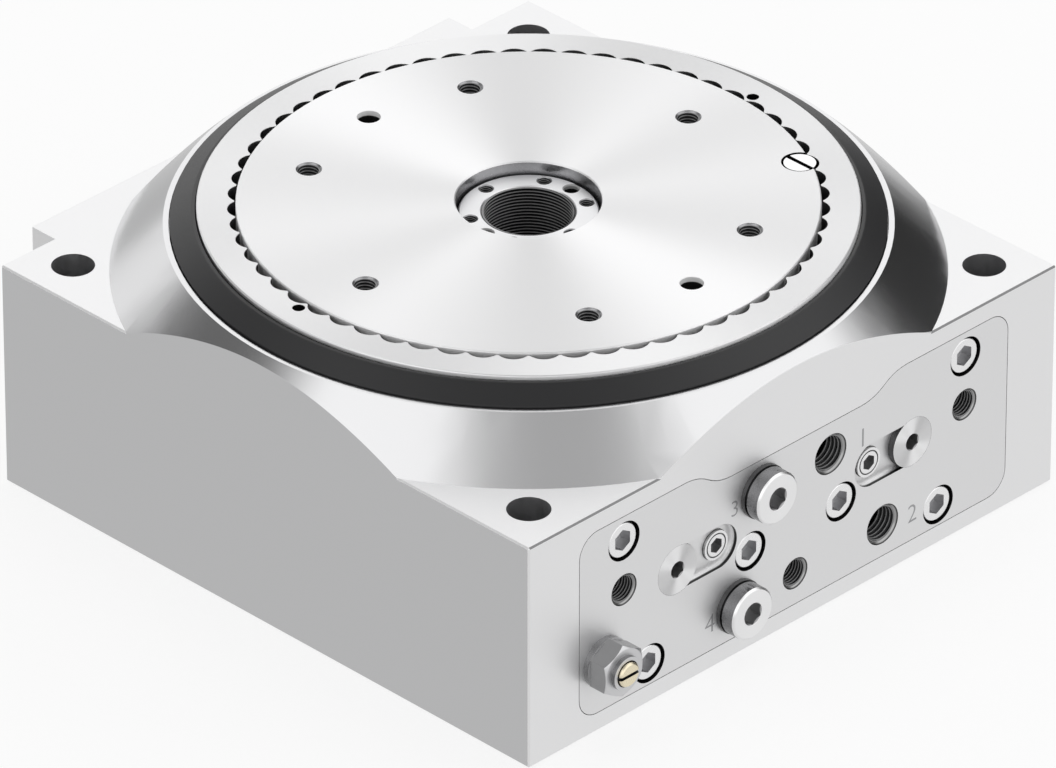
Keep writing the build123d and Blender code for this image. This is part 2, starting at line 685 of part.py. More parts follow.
def bolt_keeper():
    # A small plate that closes the drive bolt's slot from above.
    x = DRIVE_NOSE_R - DRIVE_BOLT_L / 2 - 2
    plate = Pos(x, 0, CARRIER_TOP) * Box(DRIVE_BOLT_L, KEEPER_W, KEEPER_T, align=UP)
    for x, y in keeper_places():
        plate -= disc(M3[0] + SHANK_CLEAR, CARRIER_TOP - 1, CARRIER_TOP + KEEPER_T + 1, x, y)
    return Rot(0, 0, DRIVE_ANGLE) * plate


def keeper_screws():
    screw = cap_screw(M3, KEEPER_SCREW_L)
    top = CARRIER_TOP + KEEPER_T + M3[2]
    return [Rot(0, 0, DRIVE_ANGLE) * Pos(x, y, top) * screw for x, y in keeper_places()]


def lock_bolt():
    x, y = polar(NOTCH_PITCH_R, LOCK_ANGLE)
    piston = disc(LOCK_PISTON_R, LOCK_TOP - LOCK_PISTON_L, LOCK_TOP, x, y)
    return piston + disc(BOLT_NOSE_R, LOCK_TOP - 1, FLOOR_Z, x, y)


def lock_bore_plug():
    x, y = polar(NOTCH_PITCH_R, LOCK_ANGLE)
    return disc(LOCK_PISTON_R, BASE_T, LOCK_TOP - LOCK_PISTON_L - 0.2, x, y)


def rack_piston(side):
    # The flat middle of each piston is cut as a rack that faces the gear.
    middle_y = -side * STROKE / 2
    body = rod_y(RACK_R, side * CYL_X, CYL_Z, middle_y - RACK_L / 2, middle_y + RACK_L / 2)
    flat_l = RACK_L - 2 * RACK_HEAD_L
    depth = 2 * CYL_R
    body -= Pos(side * (RACK_TIP_X - depth / 2), middle_y, CYL_Z) * Box(depth, flat_l, 3 * CYL_R)
    slope = math.tan(math.radians(PRESSURE_ANGLE))
    half = TOOTH_PITCH / 4 + BACKLASH
    space = Polyline((side * (RACK_TIP_X - 1), half + (MODULE + 1) * slope),
                     (side * RACK_ROOT_X, half - 1.25 * MODULE * slope),
                     (side * RACK_ROOT_X, -half + 1.25 * MODULE * slope),
                     (side * (RACK_TIP_X - 1), -half - (MODULE + 1) * slope), close=True)
    cutter = Pos(0, 0, CYL_Z - 1.5 * CYL_R) * extrude(make_face(space), 3 * CYL_R)
    reach = flat_l / 2 - TOOTH_PITCH / 2 - 1
    low = math.ceil((middle_y - reach) / TOOTH_PITCH)
    high = math.floor((middle_y + reach) / TOOTH_PITCH)
    for i in range(low, high + 1):
        body -= Pos(0, i * TOOTH_PITCH, 0) * cutter
    for start, width in head_grooves(side):
        body -= seal_ring(side, start, width, RACK_R + 1, RACK_R - SEAL_DEPTH)
    return body


def head_grooves(side):
    # Where the seal and the guide band start along Y, at both ends of a rack piston.
    front = -side * STROKE / 2 - RACK_L / 2
    rear = front + RACK_L
    return ((front + SEAL_IN, SEAL_W), (rear - SEAL_IN - SEAL_W, SEAL_W),
            (front + BAND_IN, BAND_W), (rear - BAND_IN - BAND_W, BAND_W))


def seal_ring(side, start, width, outer, inner):
    x = side * CYL_X
    return rod_y(outer, x, CYL_Z, start, start + width) - rod_y(inner, x, CYL_Z, start - 1, start + width + 1)


def piston_rings(side, first):
    # The two seals are the first pair of grooves, and the two guide bands the second.
    return [seal_ring(side, start + SEAT, width - 2 * SEAT, CYL_R - RUN, RACK_R - SEAL_DEPTH + SEAT)
            for start, width in head_grooves(side)[first:first + 2]]


def front_cover():
    cover = on_port_face(cover_outline(COVER_GAP), COVER_T)
    for x, z in both_sides(COVER_SCREWS):
        cover -= onto_front(screw_hole(M8, COVER_T + 1, 0, HEAD_SINK), x, z)
    for x, z in STUD_HOLES:
        cover -= onto_front(disc(STUD_HOLE_R, -STUD_DEPTH, 1), x, z)
        cover -= onto_front(mouth(STUD_HOLE_R, STUD_MOUTH_R), x, z)
    for x, z in (PORT_A, PORT_B, PLUG_UPPER, PLUG_LOWER):
        cover -= onto_front(disc(PORT_R, -PORT_DEPTH, 1), x, z)
        cover -= onto_front(disc(AIRWAY_R, -COVER_T - 1, 0), x, z)
    for x, z in (PORT_A, PORT_B):
        cover -= onto_front(mouth(PORT_R, PORT_MOUTH_R), x, z)
    x, z = THROTTLE_AT
    cover -= onto_front(disc(THROTTLE_STUB_R + SEAT, -COVER_T + 2, 1), x, z)
    for side in (-1, 1):
        slot = disc(SLOT_HALF_W, -SLOT_DEPTH, 1, side * SLOT_X, CYL_Z)
        slot += disc(SLOT_HALF_W, -SLOT_DEPTH, 1, side * CYL_X, CYL_Z)
        straight = Box(CYL_X - SLOT_X, 2 * SLOT_HALF_W, SLOT_DEPTH + 1)
        slot += Pos(side * (SLOT_X + CYL_X) / 2, CYL_Z, (1 - SLOT_DEPTH) / 2) * straight
        cover -= onto_front(slot, 0, 0)
        cover -= onto_front(disc(ADJUSTER_R + RUN, -ADJUSTER_HEAD_T, 1), side * CYL_X, CYL_Z)
        cover -= onto_front(disc(ADJUSTER_BODY_R + RUN, -COVER_T - 1, 1), side * CYL_X, CYL_Z)
        cover -= onto_front(disc(LOCK_SCREW_R + SEAT, -COVER_T + 2, 1), side * SLOT_X, CYL_Z)
        seat = disc(LOCK_SCREW_SEAT_R, -SLOT_DEPTH - LOCK_SCREW_SEAT_DEPTH, 1)
        cover -= onto_front(seat, side * SLOT_X, CYL_Z)
        groove = ring(FACE_SEAL_IN_R, FACE_SEAL_IN_R + FACE_SEAL_W, -COVER_T - 1, -COVER_T + FACE_SEAL_T)
        cover -= onto_front(groove, side * CYL_X, CYL_Z)
    return cover


def mouth(inner, outer):
    # The countersunk mouth of a tapped hole.
    return Cone(inner, outer, outer - inner, align=(Align.CENTER, Align.CENTER, Align.MAX))


def front_cover_screws():
    screw = cap_screw(M8, COVER_SCREW_L)
    return [onto_front(screw, x, z, HEAD_SINK) for x, z in both_sides(COVER_SCREWS)]


def face_seal(back):
    # A flat ring that lies in its groove round the mouth of a cylinder.
    outer = FACE_SEAL_IN_R + FACE_SEAL_W - SEAT
    return ring(FACE_SEAL_IN_R + SEAT, outer, back, back + FACE_SEAL_T - SEAT)


def front_cover_seals():
    return [onto_front(face_seal(-COVER_T), side * CYL_X, CYL_Z) for side in (-1, 1)]


def hex_socket(across, depth):
    # A hexagon socket with its countersunk mouth, cut down from z = 0.
    corner_r = across / math.sqrt(3)
    return Pos(0, 0, -depth) * hexagon(across, depth + 1) + mouth(across / 2 - 0.3, corner_r)


def cushion_adjuster(side):
    body = disc(ADJUSTER_R, -ADJUSTER_HEAD_T + RUN, 0)
    body += disc(ADJUSTER_BODY_R, STOP_Y - HALF, -ADJUSTER_HEAD_T + 1)
    body -= hex_socket(ADJUSTER_KEY, ADJUSTER_KEY_DEPTH)
    return onto_front(body, side * CYL_X, CYL_Z)


def adjuster_lock_screws():
    seat = -SLOT_DEPTH - LOCK_SCREW_SEAT_DEPTH
    top = -SLOT_DEPTH + LOCK_SCREW_RISE
    screw = disc(LOCK_SCREW_R, -COVER_T + 2.5, seat) + disc(LOCK_SCREW_HEAD_R, seat, top)
    groove_in_r = LOCK_SCREW_GROOVE_R - LOCK_SCREW_GROOVE_W
    screw -= ring(groove_in_r, LOCK_SCREW_GROOVE_R, top - LOCK_SCREW_RISE, top + 1)
    screw -= Pos(0, 0, top - 4) * hexagon(LOCK_SCREW_KEY, 5)
    return [onto_front(screw, side * SLOT_X, CYL_Z) for side in (-1, 1)]


def port_plug(place):
    plug = disc(PORT_R - SEAT, -PORT_DEPTH + 0.5, PLUG_WASHER_T)
    plug += disc(PLUG_NECK_R, PLUG_WASHER_T, PLUG_WASHER_T + 1)
    head = disc(PLUG_R, PLUG_WASHER_T + 0.6, PLUG_H)
    head = chamfer(head.edges().group_by(Axis.Z)[-1], 0.7)
    plug += head
    plug -= Pos(0, 0, PLUG_H) * hex_socket(PLUG_KEY, 5)
    return onto_front(plug, *place)


def plug_washers():
    washer = ring(PORT_R, PLUG_WASHER_R, 0, PLUG_WASHER_T)
    return [onto_front(washer, *place) for place in (PLUG_UPPER, PLUG_LOWER)]


def throttle_body():
    body = disc(THROTTLE_FLANGE_R, 0, THROTTLE_FLANGE_T)
    body += disc(THROTTLE_STUB_R, -COVER_T + 2.5, THROTTLE_STUB_Z)
    corner_r = THROTTLE_AF / math.sqrt(3)
    nut = Pos(0, 0, THROTTLE_FLANGE_T) * hexagon(THROTTLE_AF, THROTTLE_NUT_Z - THROTTLE_FLANGE_T)
    nut &= turned((0, 0), (corner_r, 0), (corner_r, THROTTLE_NUT_Z - 0.8), (corner_r - 1.4, THROTTLE_NUT_Z),
                  (0, THROTTLE_NUT_Z))
    body += nut
    body -= disc(THROTTLE_BORE_R, -2, THROTTLE_STUB_Z + 1)
    body -= disc(THROTTLE_SCREW_R + RUN, -5, 0)
    return onto_front(body, *THROTTLE_AT)


def throttle_screw():
    screw = disc(THROTTLE_SCREW_R, -4.5, THROTTLE_SCREW_Z)
    screw = chamfer(screw.edges().group_by(Axis.Z)[-1], 0.6)
    slot = Box(3 * THROTTLE_SCREW_R, THROTTLE_SLOT_W, 2 * THROTTLE_SLOT_DEPTH)
    screw -= Pos(0, 0, THROTTLE_SCREW_Z) * slot
    return onto_front(screw, *THROTTLE_AT)


def rear_end_block():
    middle_z = (REAR_LOW + REAR_HIGH) / 2
    block = Pos(0, HALF + REAR_T / 2, middle_z) * Box(2 * REAR_X, REAR_T, REAR_HIGH - REAR_LOW)
    block = chamfer(block.edges().group_by(Axis.Y)[-1], EDGE)
    for side in (-1, 1):
        block += rod_y(CYL_R - SEAT, side * CYL_X, CYL_Z, HALF - SPIGOT_L, HALF + 1)
        groove = ring(FACE_SEAL_IN_R, FACE_SEAL_IN_R + FACE_SEAL_W, -REAR_T - 1, -REAR_T + FACE_SEAL_T)
        block -= onto_rear(groove, side * CYL_X, CYL_Z)
        face_y = HALF - SPIGOT_L
        block -= rod_y(BUFFER_R / 2 + SEAT, side * CYL_X, CYL_Z, face_y - 1, face_y + BUFFER_STUD_L)
    for x, z in both_sides(COVER_SCREWS):
        block -= onto_rear(screw_hole(M8, REAR_T + 1, 0, HEAD_SINK), x, z)
    return block


def rear_block_screws():
    screw = cap_screw(M8, REAR_SCREW_L)
    return [onto_rear(screw, x, z, HEAD_SINK) for x, z in both_sides(COVER_SCREWS)]


def rear_block_seals():
    return [onto_rear(face_seal(-REAR_T), side * CYL_X, CYL_Z) for side in (-1, 1)]


def end_buffers():
    # Rubber stops let into the end block's spigots.
    face_y = HALF - SPIGOT_L
    stud_y = face_y + BUFFER_STUD_L - 0.5
    return [rod_y(BUFFER_R, side * CYL_X, CYL_Z, STOP_Y, face_y)
            + rod_y(BUFFER_R / 2, side * CYL_X, CYL_Z, face_y - 1, stud_y) for side in (-1, 1)]


NODES = {
    "housing": housing,
    "base_cover": base_cover,
    "base_cover_screws": base_cover_screws,
    "centre_column": centre_column,
    "column_screws": column_screws,
    "rotary_plate": rotary_plate,
    "index_ring": index_ring,
    "index_ring_pins": index_ring_pins,
    "locking_key_screw": locking_key_screw,
    "rotor_hub": rotor_hub,
    "hub_screws": hub_screws,
    "centre_seal": centre_seal,
    "bearing_inner_race": bearing_inner_race,
    "bearing_outer_race": bearing_outer_race,
    "bearing_balls": bearing_balls,
    "bearing_cage": bearing_cage,
    "outer_race_clamp": outer_race_clamp,
    "outer_clamp_screws": outer_clamp_screws,
    "cover_ring": cover_ring,
    "index_wheel": index_wheel,
    "index_wheel_screws": index_wheel_screws,
    "drive_gear": drive_gear,
    "gear_bush": gear_bush,
    "thrust_washer": thrust_washer,
    "bolt_carrier": bolt_carrier,
    "carrier_screws": carrier_screws,
    "drive_bolt": drive_bolt,
    "bolt_keeper": bolt_keeper,
    "keeper_screws": keeper_screws,
    "lock_bolt": lock_bolt,
    "lock_bore_plug": lock_bore_plug,
    "rack_piston_left": lambda: rack_piston(-1),
    "rack_piston_right": lambda: rack_piston(1),
    "piston_seals_left": lambda: piston_rings(-1, 0),
    "piston_seals_right": lambda: piston_rings(1, 0),
    "guide_bands_left": lambda: piston_rings(-1, 2),
    "guide_bands_right": lambda: piston_rings(1, 2),
    "front_cover": front_cover,
    "front_cover_screws": front_cover_screws,
    "front_cover_seals": front_cover_seals,
    "cushion_adjuster_left": lambda: cushion_adjuster(-1),
    "cushion_adjuster_right": lambda: cushion_adjuster(1),
    "adjuster_lock_screws": adjuster_lock_screws,
    "port_plug_upper": lambda: port_plug(PLUG_UPPER),
    "port_plug_lower": lambda: port_plug(PLUG_LOWER),
    "plug_washers": plug_washers,
    "throttle_body": throttle_body,
    "throttle_screw": throttle_screw,
    "rear_end_block": rear_end_block,
    "rear_block_screws": rear_block_screws,
    "rear_block_seals": rear_block_seals,
    "end_buffers": end_buffers,
}

os.makedirs("parts", exist_ok=True)
for name, make in NODES.items():
    shape = make()
    if isinstance(shape, list):
        shape = Compound(children=shape)
    export_step(shape, f"parts/{name}.step")
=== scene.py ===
import bmesh
import bpy
import json
from math import cos, pi, radians, sin
from mathutils import Matrix, Vector


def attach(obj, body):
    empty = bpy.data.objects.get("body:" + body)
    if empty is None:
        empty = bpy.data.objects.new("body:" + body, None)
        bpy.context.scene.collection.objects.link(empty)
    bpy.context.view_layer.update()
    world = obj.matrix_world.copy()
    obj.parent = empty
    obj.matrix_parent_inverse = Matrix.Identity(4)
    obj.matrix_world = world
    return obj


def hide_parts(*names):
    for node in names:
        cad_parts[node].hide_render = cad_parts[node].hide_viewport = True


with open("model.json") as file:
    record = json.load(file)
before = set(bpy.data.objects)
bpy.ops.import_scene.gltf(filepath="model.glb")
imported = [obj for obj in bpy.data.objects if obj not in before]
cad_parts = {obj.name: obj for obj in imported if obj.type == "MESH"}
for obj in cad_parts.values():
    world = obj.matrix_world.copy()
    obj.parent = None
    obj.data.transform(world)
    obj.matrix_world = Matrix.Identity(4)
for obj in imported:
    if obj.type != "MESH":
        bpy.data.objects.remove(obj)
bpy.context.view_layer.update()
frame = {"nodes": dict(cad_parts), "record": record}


# ---- Housing: the square aluminium block with its round boss and four corner pads.
# Milled, then blasted and clear anodised; the cone and the rim are turned afterwards, so they
# stay brighter. Everything else is fastened to it.
MM = 0.001
BLASTED = (0.93, 0.93, 0.935)
BLASTED_ROUGH = 0.46
# A grain's scale, its lowest and highest roughness, its height and its drift in colour
BLAST_GRAIN = (2600, (0.42, 0.50), 0.12, 0.02)
CONE_TINT = (0.77, 0.77, 0.778)
CONE_ROUGH = 0.17
CONE_SPREAD = 0.6
MARK_GRAIN = 1200
MARK_DRIFT = 0.02
BORE_TINT = (0.72, 0.72, 0.73)
# The thin dark line on the pads' front edges is painted shade.
EDGE_SHADE_TINT = (0.25, 0.25, 0.253)
HOUSING_EDGE = 0.5 * MM
SAME_PLACE = 1e-6
FLAT_TURN = radians(0.3)
CORNER_TURN = radians(28.0)
MOUTH_TURN = radians(60)
PAD_TOP = 84.5
HALF = 124.0
EDGE_REACH = 1.2
CORNER_AT = 107.0
CORNER_R = 7.4

nodes = frame["nodes"]
body_of = {node: body for body, members in frame["record"]["behaviour"]["bodies"].items() for node in members}
slot_of = {node: obj.data.materials[0].name for node, obj in nodes.items()}


def main_of(finish):
    return finish.node_tree.nodes["Principled BSDF"]


def shader(name, colour, roughness, metallic=1.0):
    # An even finish, metal unless it is told otherwise.
    finish = bpy.data.materials.new(name)
    finish.use_nodes = True
    main = main_of(finish)
    main.inputs["Base Color"].default_value = (*colour, 1)
    main.inputs["Roughness"].default_value = roughness
    main.inputs["Metallic"].default_value = metallic
    return finish


def add(owner, kind, links=(), **values):
    # One more node in a finish or a world: its properties and sockets by name, then its links.
    node = owner.node_tree.nodes.new(kind)
    for key, value in values.items():
        if hasattr(node, key):
            setattr(node, key, value)
        else:
            node.inputs[key.replace("_", " ")].default_value = value
    for source, target in links:
        owner.node_tree.links.new(source, node.inputs[target])
    return node


def place_of(finish):
    # Where a point lies on the piece itself, so that a pattern moves with it.
    return add(finish, "ShaderNodeTexCoord").outputs["Object"]


def grained(finish, scale, rough, bump, tint=0.0):
    # Fine even grain: roughness and height from one noise, with a trace of slow colour drift.
    links = finish.node_tree.links
    place = place_of(finish)
    grain = add(finish, "ShaderNodeTexNoise", [(place, "Vector")], Scale=scale, Detail=3.0)
    spread = add(finish, "ShaderNodeMapRange", [(grain.outputs["Fac"], "Value")],
                 From_Min=0.3, From_Max=0.7, To_Min=rough[0], To_Max=rough[1])
    links.new(spread.outputs["Result"], main_of(finish).inputs["Roughness"])
    height = add(finish, "ShaderNodeBump", [(grain.outputs["Fac"], "Height")], Strength=bump, Distance=0.0001)
    links.new(height.outputs["Normal"], main_of(finish).inputs["Normal"])
    if tint:
        drift = add(finish, "ShaderNodeTexNoise", [(place, "Vector")], Scale=9.0, Detail=2.0)
        colour = main_of(finish).inputs["Base Color"].default_value
        dark = tuple(c * (1 - tint) for c in colour[:3])
        mixed = add(finish, "ShaderNodeMix", [(drift.outputs["Fac"], 0)], data_type="RGBA")
        mixed.inputs[6].default_value = (*dark, 1)
        mixed.inputs[7].default_value = colour
        links.new(mixed.outputs[2], main_of(finish).inputs["Base Color"])
    return finish


def turned_finish(finish, spread, axis="Z", slant=0.25):
    # Fine tool marks in circles about the piece's own axis, which stretch highlights across them.
    main = main_of(finish)
    main.inputs["Anisotropic"].default_value = spread
    main.inputs["Anisotropic Rotation"].default_value = slant
    around = add(finish, "ShaderNodeTangent", direction_type="RADIAL", axis=axis)
    finish.node_tree.links.new(around.outputs["Tangent"], main.inputs["Tangent"])
    rough = main.inputs["Roughness"].default_value
    return grained(finish, MARK_GRAIN, (rough - MARK_DRIFT, rough + MARK_DRIFT), 0.02)


def machined(node, edge, mouths=()):
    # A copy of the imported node: its flat triangles joined up and its corners lightly broken, with
    # wider countersinks at the mouths of holes, each given as a test on its edges and a width.
    bm = bmesh.new()
    bm.from_mesh(nodes[node].data)
    bmesh.ops.remove_doubles(bm, verts=bm.verts, dist=SAME_PLACE)
    bmesh.ops.dissolve_limit(bm, angle_limit=FLAT_TURN, verts=bm.verts[:], edges=bm.edges[:])
    for at_mouth, width in mouths:
        rims = [e for e in bm.edges if e.is_manifold and e.calc_face_angle(0) > MOUTH_TURN
                and all(at_mouth(v.co / MM) for v in e.verts)]
        bmesh.ops.bevel(bm, geom=rims, offset=width * MM, offset_type="OFFSET", segments=1, profile=0.5,
                        affect="EDGES", material=-1, clamp_overlap=True)
    corners = [e for e in bm.edges if e.is_manifold and e.calc_face_angle(0) > CORNER_TURN]
    bmesh.ops.bevel(bm, geom=corners, offset=edge, offset_type="OFFSET", segments=2, profile=0.5,
                    affect="EDGES", material=-1, clamp_overlap=True)
    for face in bm.faces:
        face.smooth = True
    for e in bm.edges:
        e.smooth = not e.is_manifold or e.calc_face_angle(0) < CORNER_TURN
    mesh = bpy.data.meshes.new(node + "_finish")
    bm.to_mesh(mesh)
    bm.free()
    piece = bpy.data.objects.new(node + "_finish", mesh)
    bpy.context.scene.collection.objects.link(piece)
    flat = piece.modifiers.new("even_normals", "WEIGHTED_NORMAL")
    flat.keep_sharp = True
    piece.data = bpy.data.meshes.new_from_object(piece.evaluated_get(bpy.context.evaluated_depsgraph_get()))
    piece.modifiers.clear()
    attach(piece, body_of[node])
    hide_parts(node)
    return piece


def paint(piece, *finishes):
    # Gives a piece its finishes; the first of them covers it.
    piece.data.materials.clear()
    for finish in finishes:
        piece.data.materials.append(finish)
    return piece


def repaint(piece, finish, chosen):
    # Another of its finishes, on the faces whose middle, in millimetres, and direction are chosen.
    index = piece.data.materials.find(finish.name)
    for face in piece.data.polygons:
        if chosen(face.center / MM, face.normal):
            face.material_index = index


def from_axis(at, x=0.0, y=0.0):
    # How far a point lies from an upright axis, which is the table's own if no other is given.
    return Vector((at.x - x, at.y - y)).length


blasted = grained(shader("housing_blasted", BLASTED, BLASTED_ROUGH), *BLAST_GRAIN)
cone_turned = turned_finish(shader("boss_turned", CONE_TINT, CONE_ROUGH), CONE_SPREAD)
bore_drilled = grained(shader("bore_drilled", BORE_TINT, 0.35), 900, (0.3, 0.42), 0.1)
edge_shade_line = grained(shader("edge_shade_line", EDGE_SHADE_TINT, 0.35), 1800, (0.3, 0.4), 0.05)
housing = paint(machined("housing", HOUSING_EDGE), blasted, cone_turned, bore_drilled, edge_shade_line)
repaint(housing, cone_turned, lambda at, out: at.z > PAD_TOP + 0.5 and out.z > -0.2)
# The pads' front edges are broken after blasting, and their upper facet is painted dark as a thin line of
# painted shade.
repaint(housing, edge_shade_line, lambda at, out: 0.6 < out.z < 0.97 and at.y < EDGE_REACH - HALF
        and PAD_TOP - EDGE_REACH < at.z < PAD_TOP + 0.01)
repaint(housing, bore_drilled, lambda at, out: abs(out.z) < 0.5
        and from_axis(Vector((abs(at.x), abs(at.y))), CORNER_AT, CORNER_AT) < CORNER_R)


# ---- Base cover, end block and their screws: the plates that close the housing.
# Milled from the same aluminium and blasted with it, screwed on with socket head screws.
SCREW_TINT = (0.97, 0.97, 0.975)
SCREW_EDGE = 0.12 * MM
PLATE_EDGE = 0.3 * MM
FACE_Y = -124.0
REAR_Y = 137.0
COVER_SCREWS = ((80.4, 67.9), (21.4, 37.5), (68.4, 15.3), (-80.4, 67.9), (-21.4, 37.5), (-68.4, 15.3))
SEAT_R = 7.35
SEAT_RIM = 0.25
HEAD_TOP = 0.6
HEAD_R = 6.3
HEAD_EDGE = 0.2
SOCKET_R = 3.95
SOCKET_DEPTH = 3.0
# Painted shade: the hexagon sockets of the screws and fittings are grey and darker grey inside.
SOCKET_SHADE_GREY = (0.62, 0.62, 0.63)
SOCKET_SHADE_DARK = (0.42, 0.42, 0.425)
# Painted shade: near black in the gaps round screw heads and seats, in pin and key holes, and on the pins.
SHADE_BLACK = (0.018, 0.018, 0.019)

screw_steel = grained(shader("screw_steel", SCREW_TINT, 0.3), 1800, (0.24, 0.34), 0.03)
socket_shade_grey = grained(shader("socket_shade_grey", SOCKET_SHADE_GREY, 0.35), 1800, (0.3, 0.4), 0.03)
socket_shade_dark = grained(shader("socket_shade_dark", SOCKET_SHADE_DARK, 0.4), 1800, (0.4, 0.5), 0.03)
shade_black = grained(shader("shade_black", SHADE_BLACK, 0.6), 900, (0.5, 0.7), 0.05)


def near(at, places):
    # The distance to the nearest of some axes that stand on the port face.
    return min(Vector((at.x - x, at.z - z)).length for x, z in places)


paint(machined("base_cover", PLATE_EDGE), blasted)
end_block = paint(machined("rear_end_block", PLATE_EDGE), blasted, shade_black)
# The end block's seats round the screws are painted black as painted shade.
repaint(end_block, shade_black, lambda at, out: near(at, COVER_SCREWS) < SEAT_R and at.y < REAR_Y - SEAT_RIM)
# The sockets of these screws take painted shade.
for node in ("base_cover_screws", "column_screws"):
    screws = paint(machined(node, SCREW_EDGE), screw_steel, socket_shade_grey)
    repaint(screws, socket_shade_grey, lambda at, out: 0 < at.z < HEAD_TOP + SOCKET_DEPTH and abs(out.z) < 0.3)
# Painted shade: the sockets grey and the heads' sides black.
for node, head_y in (("front_cover_screws", FACE_Y + HEAD_TOP), ("rear_block_screws", REAR_Y - HEAD_TOP)):
    screws = paint(machined(node, SCREW_EDGE), screw_steel, socket_shade_grey, shade_black)
    repaint(screws, socket_shade_grey, lambda at, out: near(at, COVER_SCREWS) < SOCKET_R
            and abs(at.y) < abs(head_y) - HEAD_EDGE)
    repaint(screws, shade_black, lambda at, out: near(at, COVER_SCREWS) > HEAD_R and abs(out.y) < 0.3)


# ---- Rotary plate: the turned and clear anodised disc that carries the work.
# Faced on a lathe, so its top has fine circular marks that draw light out into sectors.
PLATE_TINT = (0.99, 0.99, 0.995)
TURNED_EDGE = 0.15 * MM
PLATE_TOP = 110.1
THREAD_CIRCLE_R = 75.6
THREAD_AT = tuple((THREAD_CIRCLE_R * cos(radians(a)), THREAD_CIRCLE_R * sin(radians(a)))
                  for a in range(0, 360, 60))
THREAD_MOUTH_R = 4.6
THREAD_BORE_R = 3.9
# A thread's ridge: the bore's and the crest's radius, pitch, depth, steps to a turn, countersink
PLATE_RIDGE = (3.8, 3.3, 1.25, 11, 30, 0.6)
# Between these distances from the middle lie the dowel holes, painted dark over this depth as painted shade
DOWEL_BAND = (70, 81)
DOWEL_SHADE = (1.7, 2.0)
KEY_AT = (80.887, -46.7)
KEY_HOLE_R = 6.25
CENTRE_BORE_R = 24.35
# Painted shade and painted highlight for threads: dark bore walls and ridge flanks, lighter ridge crests.
THREAD_SHADE = (0.03, 0.03, 0.031)
THREAD_HIGHLIGHT = (0.23, 0.23, 0.233)
# Painted shade: mid grey on the countersinks of small holes and on the centre bore.
BORE_SHADE_GREY = (0.40, 0.40, 0.41)


def nearest_axis(at, places):
    # The distance to the nearest of some upright axes.
    return min(from_axis(at, *place) for place in places)


def shaded_down(finish, axis, start, end, first, last):
    # Painted shade: grey that runs from one level to another along an axis, in millimetres, as shade falls in
    # a deep hole.
    split = add(finish, "ShaderNodeSeparateXYZ", [(place_of(finish), 0)])
    run = add(finish, "ShaderNodeMapRange", [(split.outputs[axis], "Value")], interpolation_type="SMOOTHSTEP",
              From_Min=start * MM, From_Max=end * MM, To_Min=first, To_Max=last)
    grey = add(finish, "ShaderNodeCombineColor")
    for channel in range(3):
        finish.node_tree.links.new(run.outputs["Result"], grey.inputs[channel])
    finish.node_tree.links.new(grey.outputs[0], main_of(finish).inputs["Base Color"])
    return finish


plate_turned = turned_finish(shader("plate_turned", PLATE_TINT, 0.42), 0.95)
thread_shade = grained(shader("thread_shade", THREAD_SHADE, 0.4), 900, (0.35, 0.5), 0.05)
thread_highlight = grained(shader("thread_highlight", THREAD_HIGHLIGHT, 0.4, 0.3), 900, (0.3, 0.4), 0.03)
bore_shade = grained(shader("bore_shade", BORE_SHADE_GREY, 0.3), 1200, (0.25, 0.36), 0.05)
dowel_bore_shade = shaded_down(shader("dowel_bore_shade", PLATE_TINT, 0.6, 0.0), "Z",
                         PLATE_TOP - DOWEL_SHADE[0], PLATE_TOP - DOWEL_SHADE[1], 0.92, 0.0)
plate = paint(machined("rotary_plate", TURNED_EDGE), plate_turned, thread_shade, shade_black, bore_shade,
              dowel_bore_shade)
# Painted shade down the dowel holes, the threaded holes' mouths and walls, the key hole and the centre bore.
repaint(plate, dowel_bore_shade, lambda at, out: at.z < PLATE_TOP - 0.2
        and DOWEL_BAND[0] < from_axis(at) < DOWEL_BAND[1])
repaint(plate, bore_shade, lambda at, out: at.z < PLATE_TOP - 0.05
        and nearest_axis(at, THREAD_AT) < THREAD_MOUTH_R)
repaint(plate, thread_shade, lambda at, out: at.z < PLATE_TOP - 0.7
        and nearest_axis(at, THREAD_AT) < THREAD_BORE_R)
repaint(plate, shade_black, lambda at, out: at.z < PLATE_TOP - 0.1
        and from_axis(at, *KEY_AT) < KEY_HOLE_R + 0.1)
repaint(plate, bore_shade, lambda at, out: from_axis(at) < CENTRE_BORE_R + 0.2 and at.z < PLATE_TOP - 0.4)


